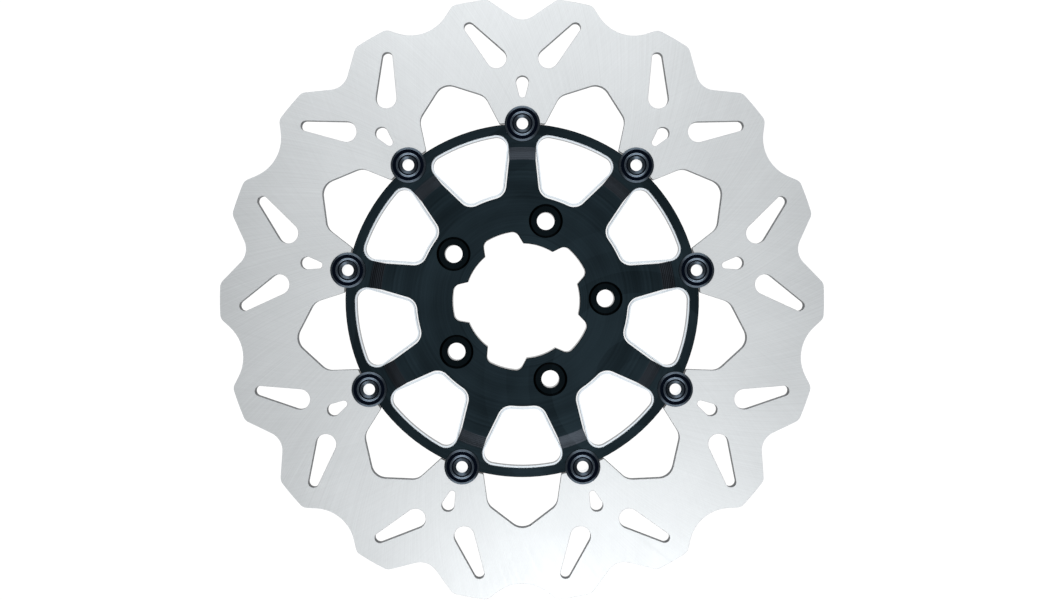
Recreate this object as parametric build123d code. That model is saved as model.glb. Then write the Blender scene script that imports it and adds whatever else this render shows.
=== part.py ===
from build123d import *
import os
from math import acos, cos, degrees, radians, sin, tan

# Floating brake disc of a motorcycle wheel, lying flat with its outer side up.
# A stainless brake ring hangs on a black aluminium carrier by nine round bobbins. Each
# bobbin sits half in the carrier's rim and half in a lug of the ring, and is held from
# behind by a flat washer, a curved spring washer and a retaining clip.
# The axis of the disc is +Z. The origin is the centre of the bolt circle on the back face
# of the hub, where the disc meets the wheel. All sizes are in millimetres and degrees, and
# angles about the axis are counted clockwise from +Y, seen from above.

SECTORS = 9
SECTOR = 360 / SECTORS
HALF_SECTOR = SECTOR / 2

# Heights above the wheel's face
HUB_FRONT = 9.4
RIM_BACK = 3.0
RIM_FRONT = 8.3
FLOAT = 0.15
RING_BACK = RIM_BACK + FLOAT
RING_THICKNESS = 5.0

# Brake ring: rim outline, a deep valley at each bobbin and a shallow one between
RING_RADIUS = 150.0
DEEP_VALLEY = dict(bottom=139.2, round_radius=9.5, flank=34.2)
SHALLOW_VALLEY = dict(bottom=141.0, round_radius=20.5, flank=37.3)
VALLEY_TOP = 166.0
LOBE_CORNER = 4.8
RING_EDGE_BREAK = 0.12

# Brake ring: tapered slots and small teardrop holes, as (radius, angle, end radius)
SLOT_WIDE_END = (120.9, 6.13, 5.1)
SLOT_NARROW_END = (137.7, 11.0, 2.6)
TEARDROP_WIDE_END = (108.4, 0.0, 3.15)
TEARDROP_NARROW_END = (102.4, 0.0, 1.7)

# Brake ring: gabled pockets between the lugs
LUG_FOOT_RADIUS = 88.4
LUG_FOOT_CORNER = 0.8
POCKET_APEX = 115.1
POCKET_APEX_ROUND = 7.5
POCKET_SHOULDER = (17.25, 101.9)
POCKET_SHOULDER_ROUND = 7.0
POCKET_SIDE_FLARE = 8.0
POCKET_REACH = 20.0

# Brake ring: the lugs are ground a hair thinner than the band that the pads sweep
PAD_BAND_RADIUS = 98.5
LUG_RELIEF = 0.02

# Carrier
RIM_RADIUS = 87.8
RIM_EDGE_BREAK = 0.4
RAMP_INNER_RADIUS = 70.0
RAMP_OUTER_RADIUS = 76.2
BOSS_RADIUS = 49.5
BOSS_FLARE = 1.5

# Carrier: the wheel's bolts and register
BOLTS = 5
BOLT_FIRST_ANGLE = 16.35
BOLT_CIRCLE_RADIUS = 82.55 / 2
BOLT_HOLE_RADIUS = 4.4
SEAT_FLOOR_RADIUS = 7.3
SEAT_MOUTH_RADIUS = 8.45
SEAT_DEPTH = 1.3
PILOT_RADIUS = 28.575
RELIEF_RADIUS = 34.6
RELIEF_HALF_WIDTH = 10.3
RELIEF_MOUTH_Y = 25.5
RELIEF_TAPER = 11.5
RELIEF_CORNER = 3.7
PILOT_EDGE_BREAK = 0.3

# Carrier: windows between the spokes, each with a narrow ledge and a cut sloping out of it
WINDOW_OUTER_RADIUS = 82.25
WINDOW_INNER_RADIUS = 54.0
WINDOW_SIDE_POINT = (14.4, 65.0)
WINDOW_SIDE_LEAN = 26.2
WINDOW_OUTER_CORNER = 5.2
WINDOW_INNER_CORNER = 5.0
LEDGE_WIDTH = 0.7
LEDGE_HEIGHT = 8.0
BEVEL_LEAN = 36.0

# Bobbins: barrel, tail and flange
BOBBIN_CIRCLE_RADIUS = 87.75
SEAT_HOLE_RADIUS = 6.0
BARREL_RADIUS = 5.95
BARREL_EDGE_BREAK = 0.2
TAIL_RADIUS = 4.5
TAIL_EDGE_BREAK = 0.25
TAIL_END = 0.1
BOBBIN_BORE_RADIUS = 2.85
FLANGE_RADIUS = 8.75
FLANGE_TOP = 9.9
FLANGE_CHAMFER_WIDTH = 1.0
FLANGE_CHAMFER_HEIGHT = 0.6

# Bobbins: turned rings of the head, as (radius, height above the flange's top)
HEAD_RINGS = [
    (6.1, 0.0),
    (5.75, 0.2),
    (5.45, 0.2),
    (5.1, 0.0),
    (4.95, -0.25),
    (4.7, -0.25),
    (4.6, -0.05),
    (3.05, -0.6),
    (BOBBIN_BORE_RADIUS, -0.85),
]

# Washers, and the retaining clip in the groove of the tail
FLAT_WASHER_THICKNESS = 0.8
FLAT_WASHER_RADIUS = 8.0
WASHER_BORE_RADIUS = 4.6
SPRING_WASHER_RADIUS = 7.6
SPRING_WASHER_THICKNESS = 0.4
CLIP_GROOVE_RADIUS = 4.0
CLIP_BOTTOM = 0.5
CLIP_THICKNESS = 0.7
CLIP_PLAY = 0.02
CLIP_RADIUS = 5.9
CLIP_OFFSET = 0.3
CLIP_GAP = 2.2
CLIP_EYE = (2.35, -5.7)
CLIP_EYE_RADIUS = 1.4
CLIP_EYE_HOLE_RADIUS = 0.65


def polar(radius, angle):
    """Point at a radius and a clockwise angle from +Y."""
    return Vector(radius * sin(radians(angle)), radius * cos(radians(angle)))


def around(shape, count, first=0.0):
    """Copies of a shape at even steps about the disc's axis."""
    return [Rot(0, 0, -(first + i * 360 / count)) * shape for i in range(count)]


def prism(face, bottom, top):
    """Straight solid above a flat outline, between two heights."""
    return Pos(0, 0, bottom) * extrude(face, top - bottom)


def turned(profile):
    """Solid of revolution about +Z from (radius, height) points."""
    return revolve(Plane.XZ * Polygon(*profile, align=None), Axis.Z)


def vertices_at(outline, radius, tolerance=0.15):
    """Corners of an outline that lie on one circle about the disc's axis."""
    return [v for v in outline.vertices() if abs(Vector(v).length - radius) < tolerance]


def valley(bottom, round_radius, flank):
    """Everything outside a round-bottomed V that is centred on +Y."""
    slope = radians(flank)
    tangent_x = round_radius * sin(slope)
    tangent_y = bottom + round_radius * (1 - cos(slope))
    top_x = tangent_x + (VALLEY_TOP - tangent_y) / tan(slope)
    left, right = (-tangent_x, tangent_y), (tangent_x, tangent_y)
    edges = [
        Line((-top_x, VALLEY_TOP), left),
        ThreePointArc(left, (0, bottom), right),
        Line(right, (top_x, VALLEY_TOP)),
        Line((top_x, VALLEY_TOP), (-top_x, VALLEY_TOP)),
    ]
    return make_face(edges)


def tapered_slot(start, end):
    """Slot with a different round at each end, joined by their common tangents."""
    start_centre, start_radius = polar(*start[:2]), start[2]
    end_centre, end_radius = polar(*end[:2]), end[2]
    along = end_centre - start_centre
    lean = degrees(acos((start_radius - end_radius) / along.length))
    forward = along.normalized()
    left, right = forward.rotate(Axis.Z, lean), forward.rotate(Axis.Z, -lean)
    start_left, start_right = start_centre + left * start_radius, start_centre + right * start_radius
    end_left, end_right = end_centre + left * end_radius, end_centre + right * end_radius
    edges = [
        Line(start_left, end_left),
        ThreePointArc(end_left, end_centre + forward * end_radius, end_right),
        Line(end_right, start_right),
        ThreePointArc(start_right, start_centre - forward * start_radius, start_left),
    ]
    return make_face(edges)


def pocket():
    """Gabled pocket that opens towards the axis, centred on +Y."""
    shoulder_x, shoulder_y = POCKET_SHOULDER
    mouth_y = LUG_FOOT_RADIUS - POCKET_REACH
    mouth_x = shoulder_x + (shoulder_y - mouth_y) * tan(radians(POCKET_SIDE_FLARE))
    outline = Polygon(
        (0, POCKET_APEX),
        (shoulder_x, shoulder_y),
        (mouth_x, mouth_y),
        (-mouth_x, mouth_y),
        (-shoulder_x, shoulder_y),
        align=None,
    )
    shoulders = [v for v in outline.vertices() if abs(v.Y - shoulder_y) < 0.1]
    outline = fillet(shoulders, POCKET_SHOULDER_ROUND)
    return fillet(outline.vertices().sort_by(Axis.Y)[-1], POCKET_APEX_ROUND)


def bobbin_seats():
    """The nine round seats, shared by the carrier's rim and the ring's lugs."""
    return around(Pos(0, BOBBIN_CIRCLE_RADIUS) * Circle(SEAT_HOLE_RADIUS), SECTORS)


def brake_ring():
    """Ring that the pads grip: a wavy rim, slots, teardrops, pockets and nine lugs."""
    outline = Rot(0, 0, 90) * Circle(RING_RADIUS)
    outline -= around(valley(**DEEP_VALLEY), SECTORS)
    outline -= around(valley(**SHALLOW_VALLEY), SECTORS, HALF_SECTOR)
    outline = fillet(vertices_at(outline, RING_RADIUS), LOBE_CORNER)

    outline -= Circle(LUG_FOOT_RADIUS)
    outline -= around(pocket(), SECTORS, HALF_SECTOR)
    outline = fillet(vertices_at(outline, LUG_FOOT_RADIUS), LUG_FOOT_CORNER)
    outline -= bobbin_seats()

    slot = tapered_slot(SLOT_WIDE_END, SLOT_NARROW_END)
    outline -= around(slot, SECTORS)
    outline -= around(mirror(slot, Plane.YZ), SECTORS)
    outline -= around(tapered_slot(TEARDROP_WIDE_END, TEARDROP_NARROW_END), SECTORS)

    front = RING_BACK + RING_THICKNESS
    ring = prism(outline, RING_BACK, front)
    ring = chamfer(ring.faces().filter_by(Axis.Z).edges(), RING_EDGE_BREAK)
    lugs = Circle(PAD_BAND_RADIUS)
    ring -= prism(lugs, RING_BACK - 1, RING_BACK + LUG_RELIEF)
    return ring - prism(lugs, front - LUG_RELIEF, front + 1)


def window_outline():
    """Opening between two spokes, centred on +Y."""
    side_x, side_y = WINDOW_SIDE_POINT
    low, high = WINDOW_INNER_RADIUS - 10, WINDOW_OUTER_RADIUS + 5
    lean = tan(radians(WINDOW_SIDE_LEAN))
    low_x, high_x = side_x + (low - side_y) * lean, side_x + (high - side_y) * lean
    wedge = Polygon((-low_x, low), (low_x, low), (high_x, high), (-high_x, high), align=None)
    outline = wedge & (Circle(WINDOW_OUTER_RADIUS) - Circle(WINDOW_INNER_RADIUS))
    outline = fillet(vertices_at(outline, WINDOW_OUTER_RADIUS), WINDOW_OUTER_CORNER)
    return fillet(vertices_at(outline, WINDOW_INNER_RADIUS), WINDOW_INNER_CORNER)


def windows():
    """Nine openings, each with a ledge and a bevel that is wider where the face is higher."""
    through = window_outline()
    ledge = offset(through, LEDGE_WIDTH)
    depth = HUB_FRONT - LEDGE_HEIGHT + 0.5
    bevel = Pos(0, 0, LEDGE_HEIGHT) * extrude(ledge, depth, taper=-BEVEL_LEAN)
    return around(prism(through, -1, HUB_FRONT + 1) + bevel, SECTORS, HALF_SECTOR)


def hub_opening():
    """Round register for the wheel, broken by a relief between each pair of bolts."""
    side = RELIEF_RADIUS + 5 - RELIEF_MOUTH_Y
    far_x = RELIEF_HALF_WIDTH - side * tan(radians(RELIEF_TAPER))
    relief = Polygon(
        (-RELIEF_HALF_WIDTH, RELIEF_MOUTH_Y),
        (RELIEF_HALF_WIDTH, RELIEF_MOUTH_Y),
        (far_x, RELIEF_MOUTH_Y + side),
        (-far_x, RELIEF_MOUTH_Y + side),
        align=None,
    )
    relief = relief & Circle(RELIEF_RADIUS)
    relief = fillet(vertices_at(relief, RELIEF_RADIUS), RELIEF_CORNER)
    between_bolts = BOLT_FIRST_ANGLE + 180 / BOLTS
    return Circle(PILOT_RADIUS) + around(relief, BOLTS, between_bolts)


def bolt_hole():
    """Through hole with a dished seat for the head of the bolt."""
    seat_floor = HUB_FRONT - SEAT_DEPTH
    slope = (SEAT_MOUTH_RADIUS - SEAT_FLOOR_RADIUS) / SEAT_DEPTH
    above = 0.5
    hole = turned([
        (0, -1),
        (BOLT_HOLE_RADIUS, -1),
        (BOLT_HOLE_RADIUS, seat_floor),
        (SEAT_FLOOR_RADIUS, seat_floor),
        (SEAT_MOUTH_RADIUS + slope * above, HUB_FRONT + above),
        (0, HUB_FRONT + above),
    ])
    return Pos(0, BOLT_CIRCLE_RADIUS) * hole


def carrier():
    """Hub, nine spokes and rim in one piece."""
    inside = PILOT_RADIUS - 5
    blank = turned([
        (inside, 0),
        (BOSS_RADIUS, 0),
        (BOSS_RADIUS + BOSS_FLARE, RIM_BACK),
        (RIM_RADIUS - RIM_EDGE_BREAK, RIM_BACK),
        (RIM_RADIUS, RIM_BACK + RIM_EDGE_BREAK),
        (RIM_RADIUS, RIM_FRONT - RIM_EDGE_BREAK),
        (RIM_RADIUS - RIM_EDGE_BREAK, RIM_FRONT),
        (RAMP_OUTER_RADIUS, RIM_FRONT),
        (RAMP_INNER_RADIUS, HUB_FRONT),
        (inside, HUB_FRONT),
    ])
    body = blank - prism(hub_opening(), -1, HUB_FRONT + 1)
    opening_edges = [
        e for e in body.edges().group_by(Axis.Z)[-1]
        if e.center().length < RELIEF_RADIUS + HUB_FRONT and e.length < RELIEF_RADIUS
    ]
    body = chamfer(opening_edges, PILOT_EDGE_BREAK)
    body -= around(bolt_hole(), BOLTS, BOLT_FIRST_ANGLE)
    body -= windows()
    return body - [prism(seat, -1, HUB_FRONT) for seat in bobbin_seats()]


def bobbin():
    """Hollow flanged bobbin, with turned rings in its head and a clip groove in its tail."""
    groove_bottom = CLIP_BOTTOM - CLIP_PLAY
    groove_top = CLIP_BOTTOM + CLIP_THICKNESS + CLIP_PLAY
    tail = [
        (BOBBIN_BORE_RADIUS, TAIL_END),
        (TAIL_RADIUS - TAIL_EDGE_BREAK, TAIL_END),
        (TAIL_RADIUS, TAIL_END + TAIL_EDGE_BREAK),
        (TAIL_RADIUS, groove_bottom),
        (CLIP_GROOVE_RADIUS, groove_bottom),
        (CLIP_GROOVE_RADIUS, groove_top),
        (TAIL_RADIUS, groove_top),
        (TAIL_RADIUS, RIM_BACK),
    ]
    barrel = [
        (BARREL_RADIUS - BARREL_EDGE_BREAK, RIM_BACK),
        (BARREL_RADIUS, RIM_BACK + BARREL_EDGE_BREAK),
        (BARREL_RADIUS, RIM_FRONT),
    ]
    flange = [
        (FLANGE_RADIUS, RIM_FRONT),
        (FLANGE_RADIUS, FLANGE_TOP - FLANGE_CHAMFER_HEIGHT),
        (FLANGE_RADIUS - FLANGE_CHAMFER_WIDTH, FLANGE_TOP),
    ]
    head = [(radius, FLANGE_TOP + height) for radius, height in HEAD_RINGS]
    return turned(tail + barrel + flange + head)


def flat_washer():
    """Washer under the rim, wide enough to catch the ring's lug as well."""
    outline = Circle(FLAT_WASHER_RADIUS) - Circle(WASHER_BORE_RADIUS)
    return prism(outline, RIM_BACK - FLAT_WASHER_THICKNESS, RIM_BACK)


def spring_washer():
    """Washer curved about +Y, touching the flat washer in its middle and the clip at its rims."""
    top = RIM_BACK - FLAT_WASHER_THICKNESS
    bottom = CLIP_BOTTOM + CLIP_THICKNESS
    rise = top - bottom - SPRING_WASHER_THICKNESS
    bend = (SPRING_WASHER_RADIUS ** 2 + rise ** 2) / (2 * rise)
    length = 4 * SPRING_WASHER_RADIUS
    shell = Cylinder(bend + SPRING_WASHER_THICKNESS, length) - Cylinder(bend, length)
    shell = Pos(0, 0, top - bend - SPRING_WASHER_THICKNESS) * Rot(90, 0, 0) * shell
    outline = Circle(SPRING_WASHER_RADIUS) - Circle(WASHER_BORE_RADIUS)
    return prism(outline, bottom - 1, top + 1) & shell


def retaining_clip():
    """Open spring ring in the bobbin's groove, with two eyes for the fitting tool."""
    eye_x, eye_y = CLIP_EYE
    eyes = [(-eye_x, eye_y), (eye_x, eye_y)]
    body = Pos(0, CLIP_OFFSET) * Circle(CLIP_RADIUS)
    body += [Pos(*eye) * Circle(CLIP_EYE_RADIUS) for eye in eyes]
    body -= Circle(CLIP_GROOVE_RADIUS + CLIP_PLAY)
    body -= Pos(0, -CLIP_RADIUS) * Rectangle(CLIP_GAP, CLIP_RADIUS)
    body -= [Pos(*eye) * Circle(CLIP_EYE_HOLE_RADIUS) for eye in eyes]
    return prism(body, CLIP_BOTTOM, CLIP_BOTTOM + CLIP_THICKNESS)


os.makedirs("parts", exist_ok=True)
export_step(brake_ring(), "parts/brake_ring.step")
export_step(carrier(), "parts/carrier.step")
hardware = {
    "bobbin": bobbin(),
    "flat_washer": flat_washer(),
    "spring_washer": spring_washer(),
    "retaining_clip": retaining_clip(),
}
for name, piece in hardware.items():
    placed = around(Pos(0, BOBBIN_CIRCLE_RADIUS) * piece, SECTORS)
    for number, copy in enumerate(placed, start=1):
        export_step(copy, f"parts/{name}_{number}.step")
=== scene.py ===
"""A floating brake disc for a motorcycle wheel, lying flat under soft studio light.

The wavy steel ring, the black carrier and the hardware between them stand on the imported
CAD frame. Lengths are in metres and angles in radians, in the frame of the disc: its axis
is +Z, and +Y points at the first bobbin.
"""
import math

import bpy
from mathutils import Matrix, Vector


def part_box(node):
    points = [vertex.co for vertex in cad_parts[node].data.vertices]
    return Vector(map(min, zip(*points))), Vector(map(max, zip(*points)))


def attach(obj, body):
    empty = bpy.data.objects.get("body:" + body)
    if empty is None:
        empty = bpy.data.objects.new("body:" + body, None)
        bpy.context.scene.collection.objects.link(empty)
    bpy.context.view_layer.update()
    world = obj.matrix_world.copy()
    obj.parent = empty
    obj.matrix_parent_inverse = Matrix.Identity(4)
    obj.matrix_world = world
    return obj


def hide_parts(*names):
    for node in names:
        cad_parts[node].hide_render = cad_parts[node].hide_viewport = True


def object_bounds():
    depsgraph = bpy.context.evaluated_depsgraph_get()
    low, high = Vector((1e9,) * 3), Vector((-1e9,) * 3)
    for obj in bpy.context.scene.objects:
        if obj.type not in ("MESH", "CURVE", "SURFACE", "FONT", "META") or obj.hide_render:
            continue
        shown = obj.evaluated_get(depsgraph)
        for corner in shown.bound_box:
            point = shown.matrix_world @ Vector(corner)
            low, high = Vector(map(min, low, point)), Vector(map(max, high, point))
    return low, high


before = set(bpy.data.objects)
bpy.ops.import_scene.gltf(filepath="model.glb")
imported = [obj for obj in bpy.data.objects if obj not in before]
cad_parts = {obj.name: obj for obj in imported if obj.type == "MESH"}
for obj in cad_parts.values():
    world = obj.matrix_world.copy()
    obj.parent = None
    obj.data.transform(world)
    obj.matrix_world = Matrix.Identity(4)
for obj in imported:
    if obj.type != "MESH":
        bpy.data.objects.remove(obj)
cad_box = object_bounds()
MM = 0.001


# ---------------------------------------------------------------- camera
# The camera hangs over the disc and looks down its axis, a little off square. Its
# distance is set by how much of the slot walls it sees.
CAMERA_DISTANCE = 0.650
CAMERA_OFFSET = Vector((-0.0015, 0.01315))
AIM_OFFSET = Vector((0.0023, 0.00045))
FRAME_WIDTH = 0.5232
SENSOR = 36.0
CLIP_START = 0.01

ring_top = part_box("brake_ring")[1].z
aim = Vector((AIM_OFFSET.x, AIM_OFFSET.y, ring_top))
place = Vector((CAMERA_OFFSET.x, CAMERA_OFFSET.y, ring_top + CAMERA_DISTANCE))
backward = (place - aim).normalized()
rightward = Vector((0, 1, 0)).cross(backward).normalized()
upward = backward.cross(rightward)
camera_data = bpy.data.cameras.new("camera")
camera_data.sensor_width = SENSOR
camera_data.lens = SENSOR * CAMERA_DISTANCE / FRAME_WIDTH
camera_data.clip_start = CLIP_START
camera = bpy.data.objects.new("camera", camera_data)
facing = Matrix((rightward, upward, backward)).transposed().to_4x4()
camera.matrix_world = Matrix.Translation(place) @ facing
bpy.context.scene.collection.objects.link(camera)
bpy.context.scene.camera = camera
bpy.context.scene.view_settings.view_transform = "Standard"


# ---------------------------------------------------------------- floor
# A pale table top that is lit from within, so that the disc shows against plain white.
FLOOR_SIZE = 4.0
FLOOR_GAP = 0.05 * MM
FLOOR_GLOW = 1.05


def add(tree, kind, inputs=None, **settings):
    """New node in a tree; inputs are values, or the sockets they are linked from."""
    node = tree.nodes.new(kind)
    for name, value in settings.items():
        setattr(node, name, value)
    for name, value in (inputs or {}).items():
        if isinstance(value, bpy.types.NodeSocket):
            tree.links.new(value, node.inputs[name])
        else:
            node.inputs[name].default_value = value
    return node


def material(name):
    """New material with an empty node tree, and its output node."""
    made = bpy.data.materials.new(name)
    made.use_nodes = True
    made.node_tree.nodes.clear()
    return made, made.node_tree, add(made.node_tree, "ShaderNodeOutputMaterial")


table_top, tree, output = material("table_top")
glow = add(tree, "ShaderNodeEmission", {"Color": (1, 1, 1, 1), "Strength": FLOOR_GLOW})
tree.links.new(glow.outputs[0], output.inputs["Surface"])

floor_level = cad_box[0][2] - FLOOR_GAP
bpy.ops.mesh.primitive_plane_add(size=FLOOR_SIZE, location=(0, 0, floor_level))
floor = bpy.context.object
floor.name = "floor"
floor.data.materials.append(table_top)


# ---------------------------------------------------------------- studio light
# A dim panel hangs over the disc, with a brighter soft box beyond it at the far side and
# the brightest at the near side. The far and near walls of the room are white, its side
# walls are dark and its ceiling is dim. Zones are sines of the angle from the disc.
SOFT_BOX_HEIGHT = 1.6
ROOM_WALL = 1.0
ROOM_CEILING = 0.30
SIDE_WALL_SHADE = 0.15
CEILING_ZONE = (0.45, 0.75)
SIDE_WALL_ZONE = (0.42, 0.7)


def soft_box(name, centre, size, radiance):
    """Level area light that shines straight down."""
    data = bpy.data.lights.new(name, "AREA")
    data.shape = "RECTANGLE"
    data.size, data.size_y = size
    data.energy = radiance * math.pi * size[0] * size[1]
    light = bpy.data.objects.new(name, data)
    light.location = (*centre, SOFT_BOX_HEIGHT)
    bpy.context.scene.collection.objects.link(light)


def maths(tree, operation, first, second=0.0, third=0.0):
    """Result of one arithmetic node."""
    inputs = {0: first, 1: second, 2: third}
    return add(tree, "ShaderNodeMath", inputs, operation=operation).outputs[0]


def span(tree, value, low, high, start=0.0, end=1.0):
    """Value carried from one span to another, and held at its ends."""
    inputs = {"Value": value, "From Min": low, "From Max": high, "To Min": start, "To Max": end}
    return add(tree, "ShaderNodeMapRange", inputs).outputs[0]


soft_box("middle_panel", (0.04, 0.0), (1.2, 1.0), 0.57)
soft_box("far_soft_box", (-0.08, 1.1), (1.0, 1.1), 1.7)
soft_box("near_soft_box", (0.17, -1.0), (0.7, 1.0), 2.5)

world = bpy.data.worlds.new("room")
bpy.context.scene.world = world
world.use_nodes = True
background = world.node_tree.nodes["Background"]
tree = world.node_tree
direction = add(tree, "ShaderNodeTexCoord").outputs["Generated"]
sideways, _, height = add(tree, "ShaderNodeSeparateXYZ", {0: direction}).outputs
strength = span(tree, height, *CEILING_ZONE, ROOM_WALL, ROOM_CEILING)
shade = span(tree, maths(tree, "ABSOLUTE", sideways), *SIDE_WALL_ZONE, 1.0, SIDE_WALL_SHADE)
tree.links.new(maths(tree, "MULTIPLY", strength, shade), background.inputs["Strength"])
background.inputs["Color"].default_value = (1, 1, 1, 1)


# ---------------------------------------------------------------- brake ring
# Stainless plate, cut to shape and then ground flat on both faces by a large wheel, which
# leaves fine crossing arcs. The cut walls keep a dark skin, and the edges are broken.
STEEL_LIGHT = (0.775, 0.805, 0.822, 1)
STEEL_EDGE = (0.55, 0.58, 0.60, 1)
STEEL_CUT = (0.035, 0.045, 0.055, 1)
LINE_WIDTH = 0.5 * MM
CROSS_LINE_WIDTH = 0.7 * MM
LINE_LENGTH = 30 * MM
SWIRL_LEAN = math.radians(24)
CLOUD_SCALE = 28.0
FINE_RELIEF = 0.05 * MM
DULL_SPECULAR = 0.1


def place_of(tree):
    """Object coordinates, as a vector and as x, y and z."""
    vector = add(tree, "ShaderNodeTexCoord").outputs["Object"]
    return vector, *add(tree, "ShaderNodeSeparateXYZ", {0: vector}).outputs


def flatness_of(tree):
    """How far the surface faces up or down: 1 on a flat face, 0 on a wall."""
    normal = add(tree, "ShaderNodeTexCoord").outputs["Normal"]
    upness = add(tree, "ShaderNodeSeparateXYZ", {0: normal}).outputs["Z"]
    return maths(tree, "ABSOLUTE", upness)


def polar(tree, x, y):
    """Radius and angle about the axis of the disc."""
    square = maths(tree, "MULTIPLY_ADD", x, x, maths(tree, "MULTIPLY", y, y))
    return maths(tree, "SQRT", square), maths(tree, "ARCTAN2", y, x)


def arc_lines(tree, x, y, lean, width, length, seed):
    """Noise drawn out into fine lines that lean away from the radius, from 0 to 1.

    The lines are wrapped on a cone, so that they close without a seam.
    """
    radius, angle = polar(tree, x, y)
    twist = maths(tree, "MULTIPLY", maths(tree, "LOGARITHM", radius, math.e), -math.tan(lean))
    turn = maths(tree, "ADD", angle, twist)
    reach = 0.125 / width
    around = add(tree, "ShaderNodeCombineXYZ", {
        0: maths(tree, "MULTIPLY", maths(tree, "COSINE", turn), reach),
        1: maths(tree, "MULTIPLY", maths(tree, "SINE", turn), reach),
        2: maths(tree, "MULTIPLY_ADD", radius, 1 / length, seed),
    }).outputs[0]
    return noise(tree, around, 1.0, 2.0)


def blend_colours(tree, factor, first, second):
    """Mix of two colours, or of two sockets."""
    mix = add(tree, "ShaderNodeMix", data_type="RGBA")
    for index, value in ((0, factor), (6, first), (7, second)):
        if isinstance(value, bpy.types.NodeSocket):
            tree.links.new(value, mix.inputs[index])
        else:
            mix.inputs[index].default_value = value
    return mix.outputs[2]


def noise(tree, vector, scale, detail):
    """Soft noise from 0 to 1."""
    inputs = {"Vector": vector, "Scale": scale, "Detail": detail}
    return add(tree, "ShaderNodeTexNoise", inputs).outputs["Fac"]


def scaled(tree, colour, factor):
    """Colour made lighter or darker by a factor."""
    inputs = {0: colour, "Scale": factor}
    return add(tree, "ShaderNodeVectorMath", inputs, operation="SCALE").outputs[0]


def ground_steel():
    """Ground faces with crossing arcs, duller broken edges and dark cut walls."""
    made, tree, output = material("ground_steel")
    vector, x, y, _ = place_of(tree)
    fine = arc_lines(tree, x, y, SWIRL_LEAN, LINE_WIDTH, LINE_LENGTH, 0.0)
    cross = arc_lines(tree, x, y, -SWIRL_LEAN, CROSS_LINE_WIDTH, LINE_LENGTH, 40.0)
    cloud = noise(tree, vector, CLOUD_SCALE, 3.0)
    lines = maths(tree, "MULTIPLY_ADD", cross, 0.5, fine)
    tone = maths(tree, "MULTIPLY_ADD", cloud, 0.7, lines)
    shade = span(tree, tone, 0.7, 1.5, 0.90, 1.06)
    face = scaled(tree, STEEL_LIGHT[:3], shade)
    flatness = flatness_of(tree)
    colour = blend_colours(tree, span(tree, flatness, 0.80, 0.95), STEEL_EDGE, face)
    skin = span(tree, flatness, 0.3, 0.6)
    colour = blend_colours(tree, skin, STEEL_CUT, colour)
    bump = add(tree, "ShaderNodeBump", {"Height": lines, "Strength": 0.12, "Distance": FINE_RELIEF})
    shader = add(tree, "ShaderNodeBsdfPrincipled", {
        "Base Color": colour,
        "Metallic": skin,
        "Roughness": span(tree, lines, 0.5, 1.0, 0.30, 0.40),
        "Specular IOR Level": DULL_SPECULAR,
        "Normal": bump.outputs[0],
    })
    tree.links.new(shader.outputs[0], output.inputs["Surface"])
    return made


def refinished(node, finish):
    """Gives a carried-over CAD node its finish."""
    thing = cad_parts[node]
    thing.data.materials.clear()
    thing.data.materials.append(finish)
    return thing


refinished("brake_ring", ground_steel())


# ---------------------------------------------------------------- carrier
# One piece of aluminium, turned and milled, then anodised black, which leaves every tool
# pass faintly visible. The windows were bevelled afterwards, so their edges are bare.
ANODISED = (0.013, 0.022, 0.028, 1)
RAMP_PAINTED_SHEEN = (0.030, 0.036, 0.044, 1)
SUNK_PAINTED_SHADE = 0.3
BARE = (0.97, 0.985, 1.0, 1)
BARE_LEDGE = (0.83, 0.90, 0.96, 1)
WINDOW_ZONE = (51.5 * MM, 83.9 * MM)
LEDGE_HEIGHT = 8.0 * MM
HUB_FRONT = 9.4 * MM
HUB_RADIUS = 51.0 * MM
RAMP_ZONE = (70.0 * MM, 76.2 * MM)
PASS_WIDTH = 4.6 * MM
SWEEP_CENTRE = (58 * MM, -40 * MM)
SWEEP_WIDTH = 11 * MM
RAMP_LINE = 0.9 * MM
RAMP_LINE_HEIGHT = 6.0
TURNING_SCALE = 900.0
MILLING_CLOUD_SCALE = 40.0
PASS_STRENGTH = 0.35
LEVEL_TOLERANCE = 0.05 * MM


def between(tree, value, low, high):
    """1 where a value lies between two limits, otherwise 0."""
    above = maths(tree, "GREATER_THAN", value, low)
    return maths(tree, "MULTIPLY", above, maths(tree, "LESS_THAN", value, high))


def tool_passes(tree, distance, width):
    """Bands of one width, each with a tone of its own, from 0 to 1."""
    band = maths(tree, "FLOOR", maths(tree, "DIVIDE", distance, width))
    return add(tree, "ShaderNodeTexWhiteNoise", {"W": band}, noise_dimensions="1D").outputs["Value"]


def choose(tree, mask, elsewhere, there):
    """One value where a mask is 0 and another where it is 1."""
    return span(tree, mask, 0.0, 1.0, elsewhere, there)


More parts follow.
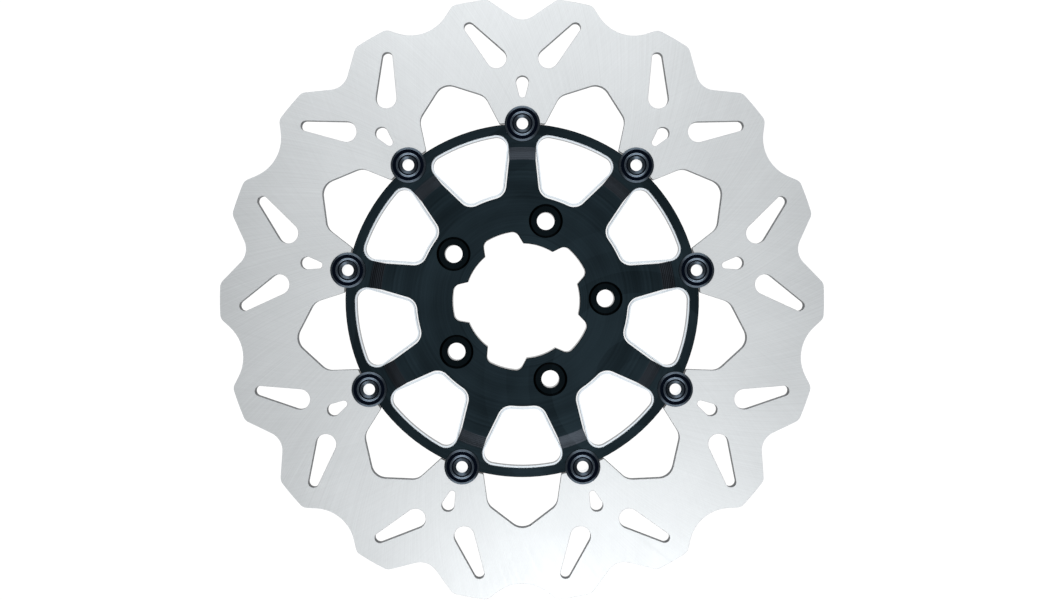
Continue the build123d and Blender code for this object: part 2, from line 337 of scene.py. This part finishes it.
def anodised_carrier():
    """Black with faint tool passes, painted shade on the sunk hub floors, a lighter, warmer black
    on the ramps as painted sheen, and bare beside the windows.
    """
    made, tree, output = material("anodised_carrier")
    vector, x, y, z = place_of(tree)
    radius = polar(tree, x, y)[0]
    flatness = flatness_of(tree)

    turned_radius = maths(tree, "MULTIPLY", radius, TURNING_SCALE)
    turning = add(tree, "ShaderNodeCombineXYZ", {0: turned_radius}).outputs[0]
    rings = noise(tree, turning, 1.0, 3.0)
    cloud = noise(tree, vector, MILLING_CLOUD_SCALE, 2.0)
    passes = tool_passes(tree, radius, PASS_WIDTH)
    centre_x, centre_y = SWEEP_CENTRE
    offset_x = maths(tree, "SUBTRACT", x, centre_x)
    offset_y = maths(tree, "SUBTRACT", y, centre_y)
    sweeps = tool_passes(tree, polar(tree, offset_x, offset_y)[0], SWEEP_WIDTH)
    tone = maths(tree, "ADD", rings, cloud)
    tone = maths(tree, "MULTIPLY_ADD", passes, PASS_STRENGTH, tone)
    tone = maths(tree, "MULTIPLY_ADD", sweeps, PASS_STRENGTH, tone)
    shade = span(tree, tone, 0.95, 1.75, 0.60, 1.40)
    # Hub floors sunk below the front face are darkened: painted shade for their recesses.
    below_front = maths(tree, "LESS_THAN", z, HUB_FRONT - LEVEL_TOLERANCE)
    recess_shade_mask = maths(tree, "MULTIPLY", below_front, maths(tree, "LESS_THAN", radius, HUB_RADIUS))
    shade = maths(tree, "MULTIPLY", shade, choose(tree, recess_shade_mask, 1.0, SUNK_PAINTED_SHADE))
    # The ramps take a lighter, warmer black: painted sheen for the light their slopes catch.
    ramp = between(tree, radius, *RAMP_ZONE)
    skin = blend_colours(tree, ramp, ANODISED, RAMP_PAINTED_SHEEN)
    black = scaled(tree, skin, shade)

    beside_window = between(tree, radius, *WINDOW_ZONE)
    sloping = between(tree, flatness, 0.3, 0.9)
    ledge = between(tree, z, LEDGE_HEIGHT - LEVEL_TOLERANCE, LEDGE_HEIGHT + LEVEL_TOLERANCE)
    bare = maths(tree, "MULTIPLY", beside_window, maths(tree, "MAXIMUM", sloping, ledge))
    metal = blend_colours(tree, ledge, BARE, BARE_LEDGE)
    colour = blend_colours(tree, bare, black, metal)

    steps = maths(tree, "SINE", maths(tree, "MULTIPLY", radius, math.tau / RAMP_LINE))
    ramp_steps = maths(tree, "MULTIPLY", steps, ramp)
    relief = maths(tree, "MULTIPLY_ADD", ramp_steps, RAMP_LINE_HEIGHT, rings)
    bump = add(tree, "ShaderNodeBump", {"Height": relief, "Strength": 0.1, "Distance": FINE_RELIEF})
    shader = add(tree, "ShaderNodeBsdfPrincipled", {
        "Base Color": colour,
        "Metallic": 1.0,
        "Roughness": maths(tree, "MULTIPLY_ADD", ledge, 0.15, 0.25),
        "Normal": bump.outputs[0],
    })
    tree.links.new(shader.outputs[0], output.inputs["Surface"])
    return made


refinished("carrier", anodised_carrier())


# ---------------------------------------------------------------- bobbins
# Nine hollow bobbins, turned from bar and anodised black. The flats are polished and
# nearly lightless. The turned slopes of the head are painted lighter, a painted sheen for
# the light they catch; its bead is lighter still, a painted highlight, and its dish a
# little darker, painted shade. The walls outside the bore are made lightless black, as
# painted shade. The bores were reamed last and are bare.
BOBBIN_COUNT = 9
BOBBIN_CIRCLE = 87.75 * MM
BOBBIN_SEGMENTS = 128
SWEEP_RADIUS = 20 * MM
BOBBIN_CLOUD_SCALE = 900.0
BOBBIN_EDGE = 0.03 * MM
EDGE_ANGLE = math.radians(15)
SMOOTH_ANGLE = math.radians(5)
FLAT_BLACK = (0.0022, 0.0038, 0.0085, 1)
SLOPE_PAINTED_SHEEN = (0.135, 0.172, 0.215, 1)
BORE_STEEL = (0.75, 0.78, 0.80, 1)
BORE_EDGE = 2.95 * MM
BEAD_FOOT = 9.87 * MM
BEAD_PAINTED_HIGHLIGHT = 2.4
DISH_PAINTED_SHADE = 0.55
DISH_FLATNESS = 0.92
# Radius and height of each corner, in millimetres.
BOBBIN_PROFILE = [
    (2.85, 0.1), (4.25, 0.1), (4.5, 0.35), (4.5, 0.48), (4.0, 0.48), (4.0, 1.22),
    (4.5, 1.22), (4.5, 3.0), (5.75, 3.0), (5.95, 3.2), (5.95, 8.3), (8.75, 8.3),
    (8.75, 9.3), (7.75, 9.9), (6.0, 9.9), (5.65, 10.1), (5.5, 10.1), (5.1, 9.85),
    (5.0, 9.6), (4.45, 9.6), (4.35, 9.78), (2.95, 9.3), (2.85, 9.15),
]


def off_bobbin_axis(tree, x, y):
    """Distance from the axis of the nearest bobbin."""
    radius, angle = polar(tree, x, y)
    step = math.tau / BOBBIN_COUNT
    share = maths(tree, "DIVIDE", maths(tree, "SUBTRACT", angle, math.pi / 2), step)
    share = maths(tree, "SUBTRACT", share, maths(tree, "ROUND", share))
    folded = maths(tree, "MULTIPLY", share, step)
    along = maths(tree, "MULTIPLY", radius, maths(tree, "COSINE", folded))
    across = maths(tree, "MULTIPLY", radius, maths(tree, "SINE", folded))
    return polar(tree, maths(tree, "SUBTRACT", along, BOBBIN_CIRCLE), across)[0]


def bobbin_black():
    """Polished black flats, painted sheen on the turned slopes, outer walls made lightless as
    painted shade, and a bare bore.
    """
    made, tree, output = material("bobbin_black")
    vector, x, y, z = place_of(tree)
    in_bore = maths(tree, "LESS_THAN", off_bobbin_axis(tree, x, y), BORE_EDGE)
    flatness = flatness_of(tree)
    slope = between(tree, flatness, 0.5, 0.97)
    wall = maths(tree, "LESS_THAN", flatness, 0.3)
    bored = maths(tree, "MULTIPLY", wall, in_bore)
    # Walls outside the bore lose all reflection and stay black: painted shade.
    outer_wall_shade_mask = maths(tree, "SUBTRACT", wall, bored)
    cloud = noise(tree, vector, BOBBIN_CLOUD_SCALE, 2.0)
    # The shallow dish slope is darkened: painted shade.
    dish_shade_mask = maths(tree, "GREATER_THAN", flatness, DISH_FLATNESS)
    shade = span(tree, cloud, 0.3, 0.7, 0.85, 1.15)
    shade = maths(tree, "MULTIPLY", shade, choose(tree, dish_shade_mask, 1.0, DISH_PAINTED_SHADE))
    # The bead above its foot is made lighter still: painted highlight.
    bead_highlight_mask = maths(tree, "GREATER_THAN", z, BEAD_FOOT)
    shade = maths(tree, "MULTIPLY", shade, choose(tree, bead_highlight_mask, 1.0, BEAD_PAINTED_HIGHLIGHT))
    # Turned slopes are painted lighter than the flats: painted sheen for the light they catch.
    painted_sheen = scaled(tree, SLOPE_PAINTED_SHEEN[:3], shade)
    colour = blend_colours(tree, slope, FLAT_BLACK, painted_sheen)
    shader = add(tree, "ShaderNodeBsdfPrincipled", {
        "Base Color": blend_colours(tree, bored, colour, BORE_STEEL),
        "Metallic": maths(tree, "SUBTRACT", 1.0, outer_wall_shade_mask),
        "Roughness": choose(tree, slope, 0.12, 0.25),
        "Specular IOR Level": 0.0,
    })
    tree.links.new(shader.outputs[0], output.inputs["Surface"])
    return made


def turned_tree():
    """Tree that turns a closed profile about an axis and sets it on the bobbin circle."""
    tree = bpy.data.node_groups.new("turned_bobbin", "GeometryNodeTree")
    sockets = {}
    for name, kind in (
        ("Profile", "NodeSocketGeometry"),
        ("Sweep Radius", "NodeSocketFloat"),
        ("Segments", "NodeSocketInt"),
        ("Circle Radius", "NodeSocketFloat"),
        ("Turn", "NodeSocketFloat"),
        ("Finish", "NodeSocketMaterial"),
    ):
        sockets[name] = tree.interface.new_socket(name, in_out="INPUT", socket_type=kind).identifier
    tree.interface.new_socket("Piece", in_out="OUTPUT", socket_type="NodeSocketGeometry")
    given = tree.nodes.new("NodeGroupInput").outputs

    def geometry(kind, **inputs):
        named = {name.replace("_", " "): value for name, value in inputs.items()}
        return add(tree, "GeometryNode" + kind, named).outputs[0]

    profile = geometry("MeshToCurve", Mesh=given["Profile"])
    circle = geometry(
        "CurvePrimitiveCircle", Resolution=given["Segments"], Radius=given["Sweep Radius"]
    )
    piece = geometry("CurveToMesh", Curve=circle, Profile_Curve=profile)
    piece = geometry("FlipFaces", Mesh=piece)
    offset = add(tree, "ShaderNodeCombineXYZ", {"Y": given["Circle Radius"]}).outputs[0]
    piece = geometry("Transform", Geometry=piece, Translation=offset)
    turn = add(tree, "ShaderNodeCombineXYZ", {"Z": given["Turn"]}).outputs[0]
    piece = geometry("Transform", Geometry=piece, Rotation=turn)
    piece = geometry("RealizeInstances", Geometry=piece)
    piece = geometry("SetMaterial", Geometry=piece, Material=given["Finish"])
    result = tree.nodes.new("NodeGroupOutput")
    tree.links.new(piece, result.inputs["Piece"])
    return tree, sockets


def flatten(thing):
    """Swaps an object's modifiers for the plain mesh that they make."""
    graph = bpy.context.evaluated_depsgraph_get()
    mesh = bpy.data.meshes.new_from_object(thing.evaluated_get(graph))
    thing.modifiers.clear()
    thing.data = mesh
    mesh.polygons.foreach_set("use_smooth", [True] * len(mesh.polygons))
    mesh.set_sharp_from_angle(angle=SMOOTH_ANGLE)


bobbin_tree, bobbin_sockets = turned_tree()
bobbin_finish = bobbin_black()
for number in range(BOBBIN_COUNT):
    outline = bpy.data.meshes.new("bobbin_profile")
    points = [(radius * MM - SWEEP_RADIUS, -height * MM, 0) for radius, height in BOBBIN_PROFILE]
    count = len(points)
    outline.from_pydata(points, [(i, (i + 1) % count) for i in range(count)], [])
    bobbin = bpy.data.objects.new(f"turned_bobbin_{number + 1}", outline)
    bpy.context.scene.collection.objects.link(bobbin)
    turning = bobbin.modifiers.new("turning", "NODES")
    turning.node_group = bobbin_tree
    turning[bobbin_sockets["Sweep Radius"]] = SWEEP_RADIUS
    turning[bobbin_sockets["Segments"]] = BOBBIN_SEGMENTS
    turning[bobbin_sockets["Circle Radius"]] = BOBBIN_CIRCLE
    turning[bobbin_sockets["Turn"]] = -math.tau * number / BOBBIN_COUNT
    turning[bobbin_sockets["Finish"]] = bobbin_finish
    edge = bobbin.modifiers.new("edge_break", "BEVEL")
    edge.width = BOBBIN_EDGE
    edge.segments = 2
    edge.limit_method = "ANGLE"
    edge.angle_limit = EDGE_ANGLE
    flatten(bobbin)
    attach(bobbin, f"bobbin_{number + 1}")
    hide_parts(f"bobbin_{number + 1}")


# ---------------------------------------------------------------- washers and clips
# Behind each bobbin lie a satin flat washer, a blued spring washer and a black clip.
# Each kind has a finish: its slot, its dark and light tones, roughness and grain.
HARDWARE = {
    "flat_washer": ("washer_steel", (0.56, 0.56, 0.55), (0.66, 0.66, 0.65), 0.35, 900.0),
    "spring_washer": ("spring_steel", (0.22, 0.22, 0.24), (0.36, 0.34, 0.31), 0.30, 500.0),
    "retaining_clip": ("clip_steel", (0.030, 0.030, 0.032), (0.055, 0.053, 0.050), 0.50, 700.0),
}


def mottled_steel(name, dark, light, roughness, scale):
    """Steel whose tone and polish both waver a little."""
    made, tree, output = material(name)
    mottle = noise(tree, place_of(tree)[0], scale, 3.0)
    tone = span(tree, mottle, 0.35, 0.65)
    waver = 0.05
    shader = add(tree, "ShaderNodeBsdfPrincipled", {
        "Base Color": blend_colours(tree, tone, (*dark, 1), (*light, 1)),
        "Metallic": 1.0,
        "Roughness": span(tree, mottle, 0.3, 0.7, roughness - waver, roughness + waver),
    })
    tree.links.new(shader.outputs[0], output.inputs["Surface"])
    return made


for piece, (finish_slot, dark, light, roughness, scale) in HARDWARE.items():
    finish = mottled_steel(finish_slot, dark, light, roughness, scale)
    for number in range(BOBBIN_COUNT):
        refinished(f"{piece}_{number + 1}", finish)
